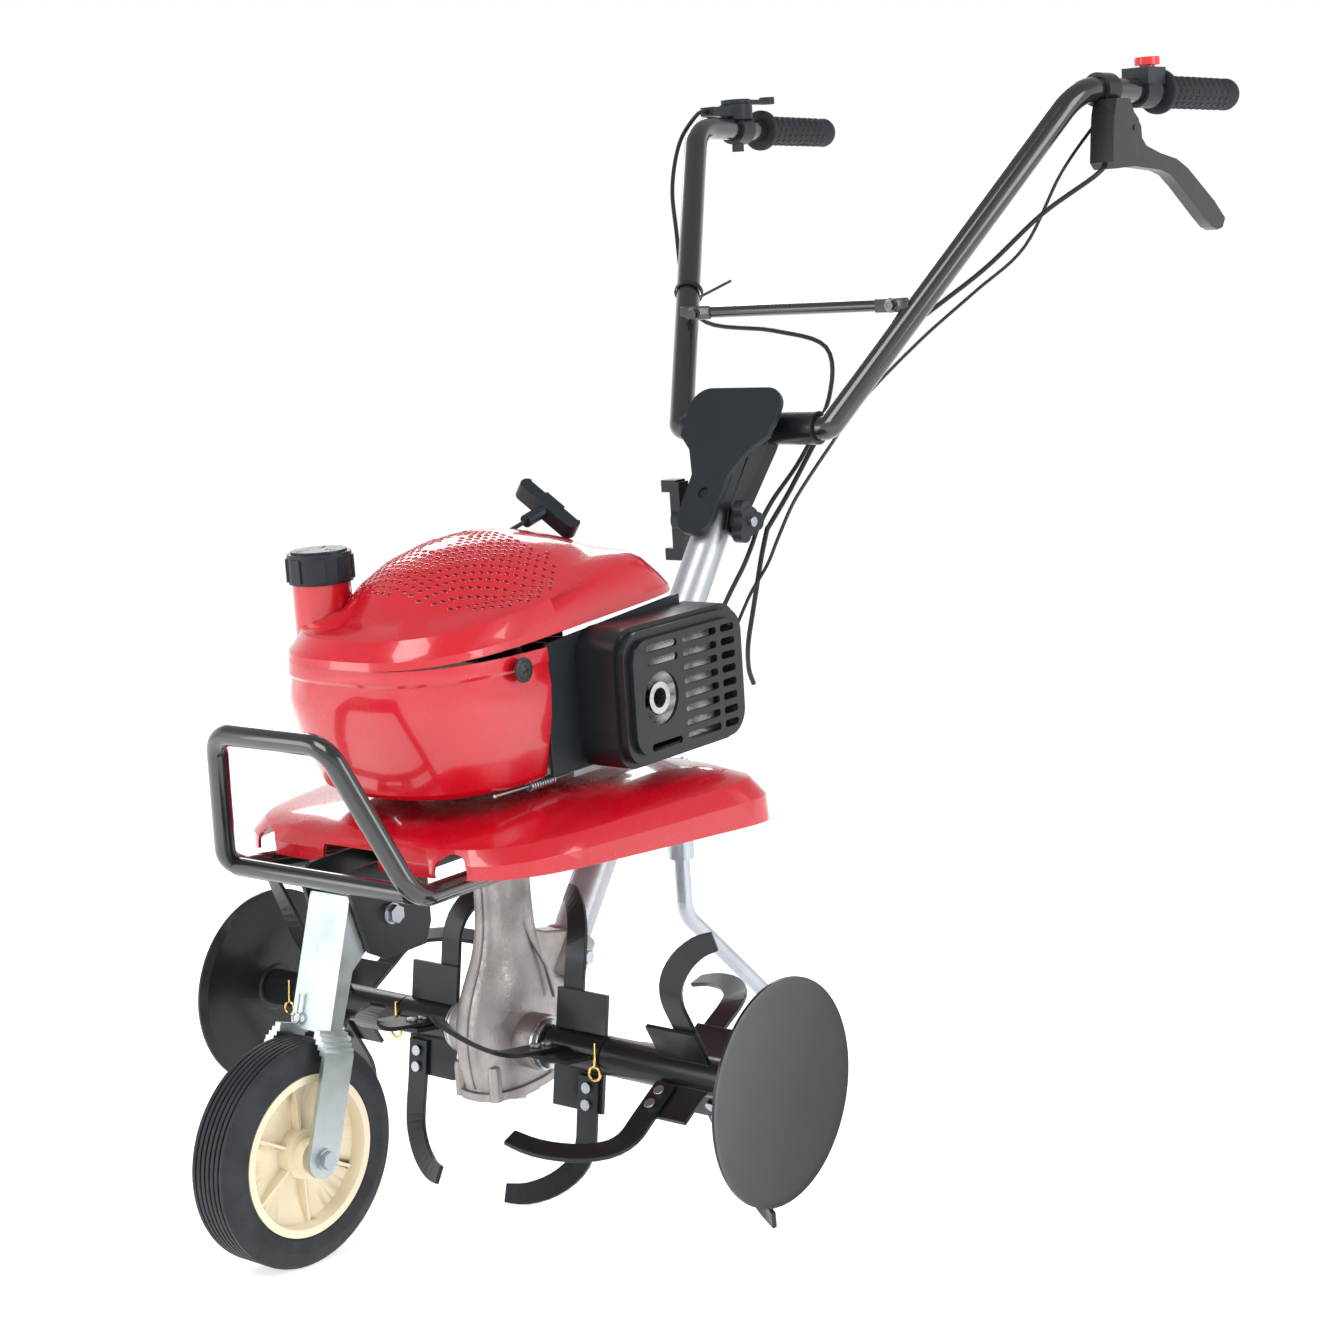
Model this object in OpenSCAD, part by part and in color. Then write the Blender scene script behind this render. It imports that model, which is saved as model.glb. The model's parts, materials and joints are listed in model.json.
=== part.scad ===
// Front-wheel mini tiller with a petrol engine over a worm gearcase.
// +X is the machine's left side, the wheel is at -Y, the grips at +Y and the ground at Z = 0.

/* [Stance] */
// Height of the tine shaft above the ground
axis_z = 136.5; // [125:0.5:150]
// Position of the tine shaft along the machine
tine_y = -266; // [-300:0.1:-250]
// Nose-down lean of the body, from the tine shaft
lean = 6; // [0:0.5:10]
// Radial gap of running fits
fit = 0.05; // [0.02:0.01:0.1]

/* [Wheel and fork] */
// Radius of the tyre
tyre_r = 92; // [80:1:105]
// Half the width of the tyre
tyre_half = 22; // [18:0.5:28]
// Number of tread grooves
tread_grooves = 6; // [4:1:8]
// Radius of the rim's outer barrel
rim_r = 63; // [55:1:70]
// Number of ribs in the rim
rim_ribs = 6; // [3:1:8]
// Radius of the wheel's bearing bore
wheel_bore_r = 5.1; // [4:0.1:8]
// Half the width of the fork channel
fork_half = 20; // [16:0.5:26]
// Half the distance between the fork arms' inner faces
arm_half = 32; // [28:0.5:40]
// Half the width of a fork arm
arm_w = 16; // [12:0.5:20]
// Lean of the fork from the body's upright line
fork_lean = 18.6; // [10:0.1:25]

/* [Tines] */
// Radius to the blade tips
tip_r = 129; // [120:1:145]
// Width of a blade
blade_w = 22; // [18:0.5:35]
// Thickness of a blade
blade_t = 4; // [3:0.5:6]
// Turn of the inner blade set
inner_turn = 4; // [-20:0.5:20]
// Turn of the outer blade set
outer_turn = -34.3; // [-60:0.5:60]
// Radius of the tine shaft
shaft_r = 12.5; // [10:0.5:15]
// Outer radius of the holder tubes
holder_r = 17; // [15:0.5:20]
// Radius of the side discs
disc_r = 95; // [80:1:110]
// Half the width over the side discs
half_width = 305; // [280:1:320]

/* [Gearcase and worm] */
// Radius of the gearcase round the tine shaft
case_r = 50; // [44:1:56]
// Distance between the worm's and the gear's axes
gear_centres = 27; // [25:0.5:30]
// Teeth of the worm wheel
gear_teeth = 32; // [24:1:40]
// Radius of the vertical shaft
drive_r = 7.5; // [6:0.5:9]

/* [Body] */
// Turn of the starter grip on its rope
grip_turn = 40; // [-90:1:90]
// Thickness of the red covers
skin = 2.5; // [2:0.1:4]
// Distance of the crankshaft behind the tine shaft
crank_y = 27; // [20:1:30]
// Radius of the handle column
column_r = 18; // [15:0.5:22]
// Lean of the column from the body's upright line
column_lean = 36.4; // [30:0.1:45]
// Length of the column tube
column_len = 489; // [450:1:520]
// Radius of the drag bar
drag_r = 8; // [6:0.5:10]
// Rows of slots in the muffler guard
slot_rows = 8; // [5:1:10]
// Height of a guard slot
slot_h = 6.5; // [4:0.5:8]

/* [Handles] */
// Outer radius of the handlebar tubes
bar_r = 12.5; // [11:0.5:14]
// Inner radius of the handlebar tubes
bar_bore_r = 10.5; // [9:0.5:12]
// Outer radius of a grip
grip_r = 17; // [15:0.5:20]
// Distance of the tilt pivot up the column
pivot_s = 466; // [440:1:480]

/* [Hidden] */
$fn = 48;
worm_pitch_r = 7;
gear_pitch_r = gear_centres - worm_pitch_r;
worm_lead = 2 * PI * gear_pitch_r / gear_teeth;
column_foot = [0, 79.9, 41.2];
axle_y = -261;
axle_z = -17.3;
fork_pivot = [0, -155.8, 158.8];
bar_low = [91, 429, 499.6];
bar_high = [239, 682, 811];
bar_flange = [254.2, 823, 808.1];
bar_end = [263.5, 972.7, 805.2];
grip_dir = (bar_end - bar_flange) / norm(bar_end - bar_flange);

function unit(v) = v / norm(v);
function bar_at(y) = bar_high + (bar_flange - bar_high) * (y - bar_high[1]) / (bar_flange[1] - bar_high[1]);
function flip(p) = [-p[0], p[1], p[2]];
function along(p, i) = unit(p[min(i + 1, len(p) - 1)] - p[max(i - 1, 0)]);
function across(p, i, u) = i >= len(p) ? [] :
  let (t = along(p, i), w = unit(u - (u * t) * t)) concat([w], across(p, i + 1, w));
function bow(a, b, c, r, n) =
  let (u = unit(a - b), v = unit(c - b), h = acos(u * v) / 2, m = unit(u + v))
  let (o = b + m * r / sin(h), s = b + u * r / tan(h) - o, e = b + v * r / tan(h) - o)
  let (w = 180 - 2 * h)
  [for (k = [0:n]) o + (s * sin(w * (1 - k / n)) + e * sin(w * k / n)) / sin(w)];
function curve(a, b, c, d, t) = 0.5 * (2 * b + (c - a) * t
  + (2 * a - 5 * b + 4 * c - d) * t * t + (3 * b - a - 3 * c + d) * t * t * t);
function smooth(p, m) = concat([for (i = [0:len(p) - 2], k = [0:m - 1])
  curve(p[max(i - 1, 0)], p[i], p[i + 1], p[min(i + 2, len(p) - 1)], k / m)], [p[len(p) - 1]]);
function disc_ring(p, t, u, r, n) =
  [for (k = [0:n - 1]) p + r * (cos(360 * k / n) * u + sin(360 * k / n) * cross(t, u))];
function power(v, e) = sign(v) * pow(abs(v), e);
// A ring is [front y, widest y, rear y, half width, front z, rear z, front power, rear power,
// growth of the width towards the rear].
function ring_xy(a, g) =
  let (e = 2 / (a < 180 ? g[7] : g[6]), h = a < 180 ? g[2] - g[1] : g[1] - g[0])
  let (y = g[1] + h * power(sin(a), e), f = (y - g[0]) / (g[2] - g[0]))
  [g[3] * (1 + g[8] * f) * power(cos(a), e), y, g[4] + (g[5] - g[4]) * f];
function ring(g, n) = [for (k = [0:n - 1]) ring_xy(360 * k / n, g)];
function inset(g, t, d) = [g[0] + t, g[1], g[2] - t, g[3] - t, g[4] - d, g[5] - d, g[6], g[7], g[8]];
// An open-backed wall is [front y, back y, half width, z, power].
function half_ring(g, t, n) = concat(
  [for (k = [0:n]) [g[2] * power(cos(-180 + 180 * k / n), 2 / g[4]),
    g[1] - (g[1] - g[0]) * pow(sin(180 * k / n), 2 / g[4]), g[3]]],
  [for (k = [0:n]) [(g[2] - t) * power(cos(180 * k / n), 2 / g[4]),
    g[1] - (g[1] - g[0] - t) * pow(sin(180 * k / n), 2 / g[4]), g[3]]]);

// Skins a stack of rings that all have the same number of points.
module skin_rings(rings) {
  n = len(rings[0]);
  m = len(rings);
  points = [for (r = rings) for (p = r) p];
  sides = [for (i = [0:m - 2], j = [0:n - 1], h = [0:1])
    let (a = i * n + j, b = i * n + (j + 1) % n)
    h == 0 ? [a, a + n, b + n] : [a, b + n, b]];
  first = [[for (j = [0:n - 1]) j]];
  last = [[for (j = [n - 1:-1:0]) (m - 1) * n + j]];
  polyhedron(points, concat(sides, first, last), convexity = 8);
}

// Skins a stack of C-shaped rings: the outer arc's points, then the inner arc's in reverse.
module wall_rings(rings) {
  n = len(rings[0]);
  m = len(rings);
  points = [for (r = rings) for (p = r) p];
  sides = [for (i = [0:m - 2], j = [0:n - 1], h = [0:1])
    let (a = i * n + j, b = i * n + (j + 1) % n)
    h == 0 ? [a, a + n, b + n] : [a, b + n, b]];
  first = [for (k = [0:n / 2 - 2], h = [0:1])
    h == 0 ? [k, k + 1, n - 2 - k] : [k, n - 2 - k, n - 1 - k]];
  last = [for (t = first) [t[2] + (m - 1) * n, t[1] + (m - 1) * n, t[0] + (m - 1) * n]];
  polyhedron(points, concat(sides, first, last), convexity = 8);
}

// Skins a closed loop of rings, such as the outside and the inside of a tube.
module skin_loop(rings) {
  n = len(rings[0]);
  m = len(rings);
  points = [for (r = rings) for (p = r) p];
  sides = [for (i = [0:m - 1], j = [0:n - 1], h = [0:1])
    let (a = i * n + j, b = i * n + (j + 1) % n, c = ((i + 1) % m) * n)
    h == 0 ? [a, c + j, c + (j + 1) % n] : [a, c + (j + 1) % n, b]];
  polyhedron(points, sides, convexity = 8);
}

module dome(rings, t, n) {
  m = len(rings);
  inner = [for (i = [m - 1:-1:0]) ring(inset(rings[i], t, i == 0 ? 0 : t), n)];
  skin_rings(concat(inner, [for (g = rings) ring(g, n)]));
}

module wire(points, r, n) {
  u = across(points, 0, [0.9, 0.3, 0.31]);
  skin_rings([for (i = [0:len(points) - 1]) disc_ring(points[i], along(points, i), u[i], r, n)]);
}

module pipe(points, r, bore, n) {
  u = across(points, 0, [0.3, 0.9, -0.31]);
  m = len(points);
  outer = [for (i = [0:m - 1]) disc_ring(points[i], along(points, i), u[i], r, n)];
  inner = [for (i = [m - 1:-1:0]) disc_ring(points[i], along(points, i), u[i], bore, n)];
  skin_loop(concat(outer, inner));
}

module rod(a, b, r) {
  d = b - a;
  translate(a)
    rotate([0, acos(d[2] / norm(d)), atan2(d[1], d[0])])
      cylinder(h = norm(d), r = r);
}

// Points Z along a to b, from a.
module aim(a, b) {
  d = b - a;
  translate(a)
    rotate([0, acos(d[2] / norm(d)), atan2(d[1], d[0])])
      children();
}

module body_frame() {
  translate([0, tine_y, axis_z])
    rotate([lean, 0, 0])
      children();
}

module tine_frame() {
  translate([0, tine_y, axis_z])
    children();
}

module column_frame(s = 0) {
  translate(column_foot)
    rotate([-column_lean, 0, 0])
      translate([0, 0, s])
        children();
}

module fork_frame() {
  translate([0, axle_y, axle_z])
    rotate([-fork_lean, 0, 0])
      children();
}

module both_sides() {
  children();
  mirror([1, 0, 0])
    children();
}

module hex_bolt(r, h, washer) {
  cylinder(h = washer, r = r * 1.15);
  translate([0, 0, washer])
    linear_extrude(height = h)
      circle(r = r, $fn = 6);
}

module rounded(x0, y0, x1, y1, r) {
  translate([x0 + r, y0])
    square([x1 - x0 - 2 * r, y1 - y0]);
  translate([x0, y0 + r])
    square([x1 - x0, y1 - y0 - 2 * r]);
  for (x = [x0 + r, x1 - r])
    for (y = [y0 + r, y1 - r])
      translate([x, y])
        circle(r = r);
}

// Extrudes a side view, drawn in Y and Z, from x0 to x1.
module side_view(x0, x1) {
  translate([x0, 0, 0])
    rotate([90, 0, 90])
      linear_extrude(height = x1 - x0)
        children();
}

// ---- Gearcase ----

module gearcase() {
  color("silver")
    body_frame()
      difference() {
        union() {
          rotate([0, 90, 0])
            cylinder(h = 52, r = case_r, center = true);
          rotate([0, 90, 0])
            cylinder(h = 96, r = 25, center = true);
          translate([0, 10, 20])
            linear_extrude(height = 176)
              rounded(-18, -27, 18, 27, 17.9);
          translate([0, 24, 190])
            linear_extrude(height = 14.9)
              rounded(-70, -62, 70, 58, 20);
          side_view(-13, 13)
            polygon([[20, -20], [66, 12], [100, 46], [80, 74], [30, 70]]);
          column_frame(-12)
            cylinder(h = 44, r = 24);
        }
        rotate([0, 90, 0])
          cylinder(h = 110, r = shaft_r + fit, center = true);
        rotate([0, 90, 0])
          cylinder(h = 16, r = 24, center = true);
        translate([0, gear_centres, -14])
          cylinder(h = 28, r = 10);
        translate([0, gear_centres, -40])
          cylinder(h = 260, r = drive_r + fit);
        column_frame(-2)
          cylinder(h = 60, r = column_r + fit);
        translate([-40, -40, -80])
          cube([80, 80, 34]);
      }
}

module gearcase_cover() {
  color("gainsboro")
    body_frame()
      translate([0, 0, -46 - 6])
        linear_extrude(height = 5.95)
          rounded(-24, -19, 24, 19, 8);
}

module shaft_seals() {
  color("silver")
    body_frame()
      both_sides()
        translate([48.1, 0, 0])
          rotate([0, 90, 0])
            difference() {
              union() {
                cylinder(h = 3, r = 24);
                translate([0, 0, 3])
                  cylinder(h = 3, r = 20);
                translate([0, 0, 6])
                  cylinder(h = 1.5, r = 22);
              }
              translate([0, 0, -1])
                cylinder(h = 20, r = shaft_r + 0.3);
            }
}

module body_bolts() {
  color("lightgray")
    body_frame() {
      both_sides() {
        translate([14.6, 0, -52])
          rotate([180, 0, 0])
            hex_bolt(4, 4, 1);
        translate([19, 0, 0])
          column_frame(12)
            translate([5.1, 0, 0])
              rotate([0, 90, 0])
                hex_bolt(6.5, 5, 2);
        translate([28.6, fork_pivot[1], fork_pivot[2]])
          rotate([0, 90, 0])
            hex_bolt(8, 6, 2);
        translate([112.6, -66, 352])
          rotate([0, 90, 0])
            cylinder(h = 2.5, r = 8);
      }
      rod([-28.4, fork_pivot[1], fork_pivot[2]], [28.4, fork_pivot[1], fork_pivot[2]], 5);
    }
}

// ---- Deck and column ----

module deck() {
  color("red")
    body_frame()
      difference() {
        dome([[-170, 6, 174, 161, 199, 181, 5, 9, 0.27], [-169, 6, 172, 160, 210, 205, 5, 9, 0.27],
          [-163, 6, 164, 153, 221, 222, 4.5, 8, 0.26], [-148, 6, 146, 137, 227, 231, 4, 7, 0.24],
          [-106, 8, 120, 109, 232, 236, 3, 5, 0.2], [-64, 20, 96, 76, 236, 239, 2.4, 3, 0.1]],
          skin, 56);
        translate([0, crank_y, 215])
          cylinder(h = 40, r = 56);
        column_frame(60)
          cylinder(h = 300, r = column_r + 4);
        translate([-24, 150, 170])
          cube([48, 50, 40]);
        translate([-32, -180, 190])
          cube([64, 60, 24]);
        both_sides()
          rod([107, -140, 203], [107, -190, 203], 15);
      }
}

module column() {
  color("silver")
    body_frame()
      column_frame()
        difference() {
          cylinder(h = column_len, r = column_r);
          translate([0, 0, -1])
            cylinder(h = column_len + 2, r = column_r - 2.5);
          translate([0, 0, pivot_s])
            rotate([0, 90, 0])
              cylinder(h = 60, r = 5 + fit, center = true);
        }
}

module drag_holder() {
  color("silver")
    body_frame()
      difference() {
        union() {
          translate([0, 269, 96])
            cylinder(h = 100, r = 13);
          side_view(-3, 3)
            polygon([[166, 140], [260, 112], [260, 190], [215, 215]]);
        }
        translate([0, 269, 90])
          cylinder(h = 120, r = drag_r + fit);
        column_frame()
          cylinder(h = 400, r = column_r + fit);
      }
}

module drag_bar() {
  low = [0, 412, -97];
  bend = [0, 269, 39];
  points = concat([[0, 269, 190]], bow([0, 269, 90], bend, low, 34, 5),
    bow(bend, low, [0, 412, -184], 30, 5), [[0, 412, -184]]);
  color("lightgray")
    body_frame()
      difference() {
        union() {
          wire([for (i = [1:len(points) - 1]) points[i]], drag_r, 24);
          rod([0, 269, 52.5], [0, 269, 198], drag_r);
        }
        translate([0, 412, -180.55])
          rotate([-lean, 0, 0])
            translate([-20, -20, -20])
              cube([40, 40, 20]);
      }
}

// ---- Wheel, fork and lift bar ----

module wheel_bracket() {
  color("dimgray")
    body_frame()
      difference() {
        union() {
          both_sides()
            side_view(24.5, 28.5)
              polygon([[-203, 196], [-184, 132], [-166, 122], [-118, 122], [-110, 140], [-110, 186],
                [-60, 189.8], [-60, 205], [-190, 205]]);
          translate([-28, -110, 183])
            cube([56, 70, 6.8]);
        }
        both_sides()
          rod([20, fork_pivot[1], fork_pivot[2]], [30, fork_pivot[1], fork_pivot[2]], 5 + fit);
        rod([-40, -204, 196], [40, -204, 196], 8.2);
      }
}

module lift_bar() {
  loop = [[58, 40, 180.8], [80, -60, 181], [110, -208, 194], [63, -244.5, 321.6]];
  right = [for (p = loop) flip(p)];
  points = concat([loop[0]], bow(loop[0], loop[1], loop[2], 60, 3),
    bow(loop[1], loop[2], loop[3], 30, 5), bow(loop[2], loop[3], right[3], 26, 5),
    bow(loop[3], right[3], right[2], 26, 5), bow(right[3], right[2], right[1], 30, 5),
    bow(right[2], right[1], right[0], 60, 3), [right[0]]);
  color("black")
    body_frame() {
      pipe(points, 9, 7, 12);
      difference() {
        wire([[-99, -204, 196], [0, -204, 196], [99, -204, 196]], 8, 12);
        for (s = [-1, 1])
          rod([s * 104, -160, 190], [s * 112, -222, 196.5], 9);
      }
    }
}

module wheel_fork() {
  color("lightgray")
    body_frame()
      difference() {
        fork_frame() {
          translate([-fork_half, -1.5, 98])
            cube([2 * fork_half, 3, 112]);
          both_sides() {
            side_view(fork_half, fork_half + 3)
              polygon([[-1.5, 98], [12, 98], [14, 150], [38, 184], [56, 190], [58, 208], [48, 216],
                [34, 214], [10, 209.9], [-1.5, 210]]);
            for (k = [0:3])
              translate([fork_half + k * (arm_half - fork_half) / 4, -arm_w, 98 - (k + 1) * 4])
                cube([(arm_half - fork_half) / 4 + 3, 2 * arm_w, 7]);
            side_view(arm_half, arm_half + 4) {
              translate([-arm_w, 0])
                square([2 * arm_w, 85]);
              circle(r = arm_w);
            }
          }
        }
        translate([-50, axle_y, axle_z])
          rotate([0, 90, 0])
            cylinder(h = 100, r = 5 + fit);
        translate([-50, fork_pivot[1], fork_pivot[2]])
          rotate([0, 90, 0])
            cylinder(h = 100, r = 5 + fit);
      }
}

module fork_hardware() {
  color("lightgray")
    body_frame()
      fork_frame() {
        rotate([0, 90, 0])
          cylinder(h = 2 * arm_half + 8, r = 5, center = true);
        both_sides()
          translate([arm_half + 4.05, 0, 0])
            rotate([0, 90, 0])
              hex_bolt(7.5, 5, 2);
        translate([-fork_half + 6, -5.6, 106])
          rotate([90, 0, 0])
            rotate_extrude()
              translate([4, 0])
                circle(r = 1);
        translate([-fork_half + 6, -5.6, 110])
          cylinder(h = 16, r = 1);
      }
}

module wheel_rim() {
  color("wheat")
    body_frame()
      translate([0, axle_y, axle_z])
        rotate([0, 90, 0])
          difference() {
            union() {
              rotate_extrude()
                polygon([[rim_r - 4, -18], [rim_r - 3, -20.5], [rim_r + 3.5, -20.5],
                  [rim_r + 3.5, -19], [rim_r - 0.05, -18], [rim_r - 0.05, 18],
                  [rim_r + 3.5, 19], [rim_r + 3.5, 20.5], [rim_r - 3, 20.5], [rim_r - 4, 18],
                  [rim_r - 5, 8], [34, 2.5], [14, 2.5], [14, -2.5], [34, -2.5], [rim_r - 5, -8]]);
              cylinder(h = 50, r = 14, center = true);
              cylinder(h = 30, r = 20, center = true);
              for (k = [1:rim_ribs])
                rotate([0, 0, k * 360 / rim_ribs])
                  translate([13, -1.5, -11])
                    cube([rim_r - 18, 3, 22]);
            }
            cylinder(h = 80, r = wheel_bore_r, center = true);
          }
}

module wheel_tyre() {
  pitch_x = 31 / tread_grooves;
  color("dimgray")
    body_frame()
      translate([0, axle_y, axle_z])
        rotate([0, 90, 0])
          difference() {
            rotate_extrude()
              polygon([[rim_r, -17.9], [rim_r + 3.9, -18.9], [rim_r + 4.5, -21],
                [tyre_r - 13, -tyre_half], [tyre_r - 4, -tyre_half + 1.5],
                [tyre_r, -tyre_half + 4.7], [tyre_r, tyre_half - 4.7],
                [tyre_r - 4, tyre_half - 1.5], [tyre_r - 13, tyre_half],
                [rim_r + 4.5, 21], [rim_r + 3.9, 18.9], [rim_r, 17.9]]);
            for (k = [0:tread_grooves - 1])
              translate([0, 0, (k - tread_grooves / 2 + 0.5) * pitch_x - 0.8])
                difference() {
                  cylinder(h = 1.6, r = tyre_r + 1);
                  cylinder(h = 1.6, r = tyre_r - 2.5);
                }
          }
}

// ---- Engine ----

module clutch_housing() {
  color("silver")
    body_frame()
      translate([0, crank_y, 205])
        difference() {
          union() {
            cylinder(h = 57, r = 54);
            cylinder(h = 10, r = 62);
            translate([0, 0, 20])
              cylinder(h = 8.2, r = 64);
            translate([0, 0, 49])
              cylinder(h = 8, r = 66);
          }
          translate([0, 0, 6])
            cylinder(h = 45, r = 47);
          translate([0, gear_centres - crank_y, -1])
            cylinder(h = 10, r = drive_r + 1);
          translate([0, 0, 40])
            cylinder(h = 20, r = 12);
        }
}

module engine_block() {
  color("gray")
    body_frame()
      difference() {
        union() {
          translate([0, crank_y, 262.1])
            linear_extrude(height = 66)
              rounded(-62, -66, 62, 50, 20);
          for (k = [0:6])
            translate([-48, 74, 266 + k * 10])
              cube([96, 78, 4]);
          translate([-34, 60, 262.2])
            cube([68, 84, 70]);
        }
        translate([0, crank_y, 262])
          cylinder(h = 80, r = 9 + fit);
      }
}

module engine_shroud() {
  rings = [[-138, -28, 92, 250, 2.6], [-147, -28, 98, 256, 2.6], [-157, -28, 103, 280, 2.7],
    [-165, -28, 108, 306, 2.8], [-169, -28, 110, 332, 2.9], [-166, -28, 108, 350, 2.9],
    [-168, -28, 109.5, 353, 2.9], [-167, -28, 108.5, 364, 2.9]];
  color("red")
    body_frame()
      difference() {
        wall_rings([for (g = rings) half_ring(g, skin, 32)]);
        translate([-78, -100, 344.9])
          cylinder(h = 40, r = 25.1);
      }
}

module top_cover() {
  color("red")
    body_frame()
      difference() {
        dome([[-169, -10, 166, 110, 364.2, 384, 2.9, 9, -0.03],
          [-168, -10, 164, 109.5, 371, 390, 2.9, 9, -0.03],
          [-164, -10, 158, 107, 376, 400, 2.8, 8, -0.04],
          [-158, -10, 138, 103, 386, 417, 2.7, 8, -0.05],
          [-138, 0, 128, 92, 394, 423, 2.5, 7, 0], [-128, 4, 120, 82, 399, 428, 2.2, 2.6, 0],
          [-112, 6, 106, 71, 416, 436, 2.1, 2.3, 0], [-86, 10, 84, 56, 433, 443, 2, 2.1, 0],
          [-52, 14, 58, 36, 445, 449, 2, 2, 0], [-16, 16, 40, 18, 451, 452, 2, 2, 0]],
          skin, 56);
        translate([-78, -100, 340])
          cylinder(h = 120, r = 25.6);
        rod([0, 6, 435.1], [0, 140, 468.1], 4);
      }
}

module side_cover() {
  color("dimgray")
    body_frame()
      difference() {
        both_sides()
          side_view(101, 105)
            polygon([[-27.6, 252], [150, 252], [158, 300], [158, 380], [-27.6, 365.5]]);
        translate([100, 83.9, 289.9])
          cube([10, 40.2, 30.2]);
      }
}

module fuel_tank() {
  color("red")
    body_frame()
      difference() {
        union() {
          translate([-78, -100, 345])
            cylinder(h = 78, r = 25);
          translate([-72, -94, 300])
            cylinder(h = 50, r = 14);
          translate([-78, -100, 422])
            cylinder(h = 6, r = 21);
          translate([-52, -128, 285])
            cube([104, 78, 66]);
        }
        translate([-78, -100, 350])
          cylinder(h = 140, r = 19);
      }
}

module fuel_cap() {
  color("dimgray")
    body_frame()
      translate([-78, -100, 0])
        difference() {
          union() {
            translate([0, 0, 423.3])
              cylinder(h = 25.5, r = 27.5);
            translate([0, 0, 448])
              cylinder(h = 3, r = 24);
            for (k = [1:8])
              rotate([0, 0, 45 * k])
                translate([25.5, -5, 425.3])
                  cube([3.5, 10, 20]);
          }
          translate([0, 0, 423])
            cylinder(h = 14, r = 21.4);
          for (k = [1:3])
            rotate([0, 0, 120 * k])
              translate([8, -1.2, 450])
                cube([12, 2.4, 2]);
        }
}

module muffler() {
  color("gray")
    body_frame()
      difference() {
        union() {
          translate([107, 50, 268])
            cube([34, 102, 84]);
          translate([141, 57, 308])
            rotate([0, 90, 0])
              cylinder(h = 16, r = 11);
          translate([48.2, 84, 290])
            cube([60, 40, 30]);
          translate([154, 57, 308])
            rotate([0, 90, 0])
              cylinder(h = 3, r = 14);
        }
        translate([110, 57, 308])
          rotate([0, 90, 0])
            cylinder(h = 60, r = 8.5);
      }
}

module muffler_guard() {
  color("dimgray")
    body_frame()
      difference() {
        union() {
          side_view(105.1, 146)
            rounded(10, 250, 185, 372, 24);
          side_view(146, 154)
            rounded(14, 254, 181, 368, 23);
          side_view(154, 159)
            rounded(21, 261, 174, 361, 20);
        }
        side_view(104, 143)
          rounded(13, 253, 182, 369, 21);
        side_view(142, 151)
          rounded(17, 257, 178, 365, 20);
        side_view(150, 156)
          rounded(24, 264, 171, 358, 17);
        translate([140, 57, 308])
          rotate([0, 90, 0])
            cylinder(h = 30, r = 23);
        for (k = [0:slot_rows - 1])
          side_view(140, 170) {
            rounded(90, 264 + k * 12.2, 138, 264 + k * 12.2 + slot_h, 3);
            rounded(144, 264 + k * 12.2, 164, 264 + k * 12.2 + slot_h, 3);
          }
        for (k = [0, 6, 7])
          side_view(140, 170)
            rounded(40, 264 + k * 12.2, 82, 264 + k * 12.2 + slot_h, 3);
      }
}

module air_cleaner() {
  color("dimgray")
    body_frame() {
      difference() {
        side_view(-152, -112)
          rounded(14, 268, 116, 360, 18);
        side_view(-149, -111)
          rounded(17, 271, 113, 357, 15);
      }
      translate([-112, 14.5, 268.5])
        cube([3, 101, 91]);
      translate([-109, 40, 290])
        cube([3.9, 44, 44]);
    }
}

module governor_linkage() {
  color("lightgray")
    body_frame() {
      rod([88, -84, 247], [88, 26, 245], 1.5);
      rod([88, 26, 243], [70, 26, 243], 1.5);
      rod([88, 26, 242], [88, 26, 262], 2);
      translate([88, -40, 245.5])
        rotate([90, 0, 0])
          for (k = [0:9])
            translate([0, 0, -k * 3.2])
              rotate_extrude()
                translate([3.6, 0])
                  circle(r = 0.9);
      translate([66.5, 8, 244])
        cube([30, 36, 5]);
    }
}

module crankshaft() {
  color("lightgray")
    body_frame()
      translate([0, crank_y, 0]) {
        translate([0, 0, 243])
          cylinder(h = 122, r = 9);
        translate([0, 0, 222])
          cylinder(h = 21.1, r = 7);
      }
}

module flywheel() {
  color("gray")
    body_frame()
      translate([0, crank_y, 334])
        difference() {
          union() {
            cylinder(h = 10, r = 66);
            for (k = [1:12])
              rotate([0, 0, 30 * k])
                translate([34, -2, 9.5])
                  cube([28, 4, 12]);
            cylinder(h = 22, r = 20);
          }
          translate([0, 0, -1])
            cylinder(h = 40, r = 9);
        }
}

module clutch_shoes() {
  color("dimgray")
    body_frame()
      translate([0, crank_y, 222])
        difference() {
          cylinder(h = 18, r = 37);
          translate([0, 0, -1])
            cylinder(h = 20, r = 7);
          for (k = [1:2])
            rotate([0, 0, 180 * k])
              translate([12, -2, -1])
                cube([30, 4, 20]);
        }
}

module starter_handle() {
  color("dimgray")
    body_frame()
      aim([0, 72.5, 451.3], [0, 112.1, 461]) {
        translate([0, 0, 6])
          cylinder(h = 29, r = 6);
        translate([0, 0, -30])
          cylinder(h = 37, r = 2);
        rotate([0, 0, grip_turn])
          difference() {
            translate([0, 0, 38])
              rotate([90, 0, 90])
                linear_extrude(height = 15, center = true)
                  rounded(-34, -8.5, 34, 8.5, 8);
            for (s = [-1, 1])
              translate([-10, s * 20 - 9, 44])
                cube([20, 18, 20]);
          }
      }
}

// ---- Tines ----

function spoke(a) = [0, -sin(a), -cos(a)];
function tangent(a) = [0, -cos(a), sin(a)];
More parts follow.
